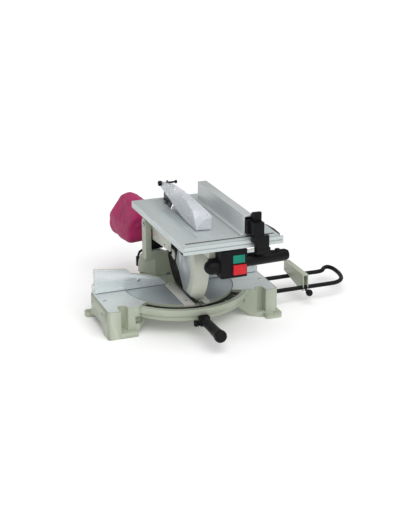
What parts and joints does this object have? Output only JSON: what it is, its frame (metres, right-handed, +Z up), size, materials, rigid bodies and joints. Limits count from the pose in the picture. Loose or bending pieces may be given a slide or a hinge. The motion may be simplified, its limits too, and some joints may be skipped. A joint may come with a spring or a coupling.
{
  "type": "table-top mitre saw",
  "caption": "Table-top mitre saw: a turning, tilting mitre saw whose lowered head carries a small saw table with a sliding rip fence and blade guard.",
  "frame": {"origin": "on the bench under the middle of the whole object with its head lowered", "axes": "+Z up, +X to the operator's right, the operator stands at -Y; +X is the longest side, over the stock holder's rods"},
  "size_m": [0.7476, 0.6918, 0.358],
  "materials": {
    "cast": "hammered light grey-green paint on an aluminium die casting",
    "cream": "smooth cream paint on an aluminium die casting",
    "alloy": "machined and brushed",
    "steel": "ground steel",
    "black_metal": "black paint",
    "black_plastic": "moulded black",
    "grip_rubber": "moulded grip",
    "copper": "wound copper and laminated core",
    "kerf": "machined kerf board",
    "green": "push button",
    "red": "push button",
    "bag": "woven nylon dust bag",
    "clear": "clear polycarbonate"
  },
  "bodies": {
    "base": {"base_casting": "cast", "fence_left": "alloy", "fence_right": "alloy", "mitre_scale": "black_metal", "turntable_bolt": "steel"},
    "stock_rods": {"holder_rods": "black_metal"},
    "stock_plate": {"holder_plate": "cast"},
    "stock_screw": {"holder_thumbscrew": "black_metal"},
    "turntable": {"turntable": "alloy", "turntable_ring": "cast", "kerf_board_left": "kerf", "kerf_board_right": "kerf", "mitre_pointer": "steel", "grip_bracket": "black_metal", "bevel_bolt": "steel"},
    "mitre_grip": {"mitre_grip": "black_plastic"},
    "mitre_lock": {"mitre_lock_lever": "black_metal"},
    "arm": {"bevel_arm": "cast", "head_shaft": "steel", "head_spring": "steel"},
    "bevel_lever": {"bevel_lever": "black_metal"},
    "stop_pin": {"stop_pin": "black_metal"},
    "head": {"blade_case": "cream", "side_cover": "cream", "splinter_guard": "black_plastic", "gear_housing": "cast", "motor_housing": "black_plastic", "motor_end_cap": "black_plastic", "stator": "copper", "spindle_bearing": "steel", "switch_box": "black_plastic", "handle_bar": "grip_rubber", "dust_nozzle": "black_plastic", "riving_knife": "steel"},
    "lower_guard": {"lower_guard": "alloy"},
    "cutter": {"spindle": "steel", "large_gear": "steel", "inner_flange": "steel", "saw_blade": "steel", "outer_flange": "steel", "blade_bolt": "steel"},
    "armature": {"armature": "steel", "cooling_fan": "black_plastic"},
    "start_button": {"start_button": "green"},
    "stop_button": {"stop_button": "red"},
    "trigger": {"trigger": "black_plastic"},
    "lock_off": {"lock_off_button": "black_plastic"},
    "dust_bag": {"dust_bag": "bag"},
    "saw_table": {"saw_table": "alloy", "table_insert": "alloy", "front_rail": "alloy", "table_post_left": "steel", "table_post_right": "steel"},
    "table_lever": {"table_lever": "black_plastic"},
    "top_guard": {"top_guard": "clear"},
    "guard_knob": {"guard_knob": "black_metal"},
    "rip_fence": {"rip_fence": "alloy", "fence_clamp": "black_metal", "fence_jaw": "black_metal"},
    "fence_knob": {"fence_knob": "black_plastic"}
  },
  "joints": [
    {"name": "turntable_swing", "type": "hinge", "parent": "base", "child": "turntable", "pos_m": [-0.12484, -0.0301, 0.077], "axis": [0, 0, 1], "range_deg": [-45, 52]},
    {"name": "mitre_grip_turn", "type": "hinge", "parent": "turntable", "child": "mitre_grip", "pos_m": [-0.12484, -0.2901, 0.047], "axis": [0, 1, 0], "range_deg": [-360, 0]},
    {"name": "mitre_lock_press", "type": "hinge", "parent": "turntable", "child": "mitre_lock", "pos_m": [-0.12484, -0.2241, 0.036], "axis": [1, 0, 0], "range_deg": [0, 15]},
    {"name": "bevel_tilt", "type": "hinge", "parent": "turntable", "child": "arm", "pos_m": [-0.12484, 0.0699, 0.077], "axis": [0, 1, 0], "range_deg": [-45, 0]},
    {"name": "bevel_lever_turn", "type": "hinge", "parent": "arm", "child": "bevel_lever", "pos_m": [-0.15185, 0.1089, 0.1116], "axis": [0, 1, 0], "range_deg": [0, 35]},
    {"name": "stop_pin_slide", "type": "slide", "parent": "arm", "child": "stop_pin", "axis": [1, 0, 0], "range_m": [-0.008, 0]},
    {"name": "head_raise", "type": "hinge", "parent": "arm", "child": "head", "pos_m": [-0.13284, 0.0699, 0.225], "axis": [1, 0, 0], "range_deg": [-40, 0]},
    {"name": "lower_guard_swing", "type": "hinge", "parent": "head", "child": "lower_guard", "pos_m": [-0.13234, -0.0801, 0.195], "axis": [1, 0, 0], "range_deg": [0, 60]},
    {"name": "blade_spin", "type": "hinge", "parent": "head", "child": "cutter", "pos_m": [-0.12484, -0.0801, 0.195], "axis": [1, 0, 0], "continuous": true},
    {"name": "armature_spin", "type": "hinge", "parent": "head", "child": "armature", "pos_m": [-0.03485, -0.0251, 0.222], "axis": [1, 0, 0], "continuous": true},
    {"name": "start_press", "type": "slide", "parent": "head", "child": "start_button", "axis": [0, 1, 0], "range_m": [0, 0.003], "stiffness_N_per_m": 300},
    {"name": "stop_press", "type": "slide", "parent": "head", "child": "stop_button", "axis": [0, 1, 0], "range_m": [0, 0.004], "stiffness_N_per_m": 300},
    {"name": "trigger_press", "type": "slide", "parent": "head", "child": "trigger", "axis": [0, -1, 0], "range_m": [0, 0.005], "stiffness_N_per_m": 400},
    {"name": "lock_off_press", "type": "slide", "parent": "head", "child": "lock_off", "axis": [0, 0, -1], "range_m": [0, 0.0025], "stiffness_N_per_m": 300},
    {"name": "dust_bag_hang", "type": "hinge", "parent": "head", "child": "dust_bag", "pos_m": [-0.13284, 0.1689, 0.19], "axis": [1, 0, 0], "range_deg": [0, 40]},
    {"name": "table_lift", "type": "slide", "parent": "head", "child": "saw_table", "axis": [0, 0, 1], "range_m": [0, 0.035]},
    {"name": "table_lever_turn", "type": "hinge", "parent": "saw_table", "child": "table_lever", "pos_m": [0.04716, -0.2941, 0.282], "axis": [1, 0, 0], "range_deg": [0, 35]},
    {"name": "guard_pivot_follow", "type": "hinge", "parent": "head", "child": "guard_knob", "pos_m": [-0.14485, 0.0499, 0.343], "axis": [1, 0, 0], "range_deg": [-12.05, 0]},
    {"name": "top_guard_raise", "type": "hinge", "parent": "guard_knob", "child": "top_guard", "pos_m": [-0.12484, 0.0499, 0.343], "axis": [1, 0, 0], "range_deg": [-50, 0]},
    {"name": "rip_fence_slide", "type": "slide", "parent": "saw_table", "child": "rip_fence", "axis": [1, 0, 0], "range_m": [-0.045, 0.045]},
    {"name": "fence_knob_turn", "type": "hinge", "parent": "rip_fence", "child": "fence_knob", "pos_m": [-0.02084, -0.3101, 0.34], "axis": [0, 0, 1], "range_deg": [-90, 0]},
    {"name": "stock_rods_slide", "type": "slide", "parent": "base", "child": "stock_rods", "axis": [1, 0, 0], "range_m": [-0.01, 0.03]},
    {"name": "stock_plate_slide", "type": "slide", "parent": "stock_rods", "child": "stock_plate", "axis": [1, 0, 0], "range_m": [-0.06, 0.06]},
    {"name": "stock_screw_turn", "type": "hinge", "parent": "stock_plate", "child": "stock_screw", "pos_m": [0.22715, -0.1201, 0.034], "axis": [0, 1, 0], "range_deg": [0, 180]}
  ],
  "couplings": [
    {"joint": "armature_spin", "follows": "blade_spin", "ratio": -4.3846},
    {"joint": "lower_guard_swing", "follows": "head_raise", "ratio": -1.5},
    {"joint": "dust_bag_hang", "follows": "head_raise", "ratio": -1},
    {"joint": "guard_pivot_follow", "follows": "table_lift", "rad_per_m": -6}
  ]
}
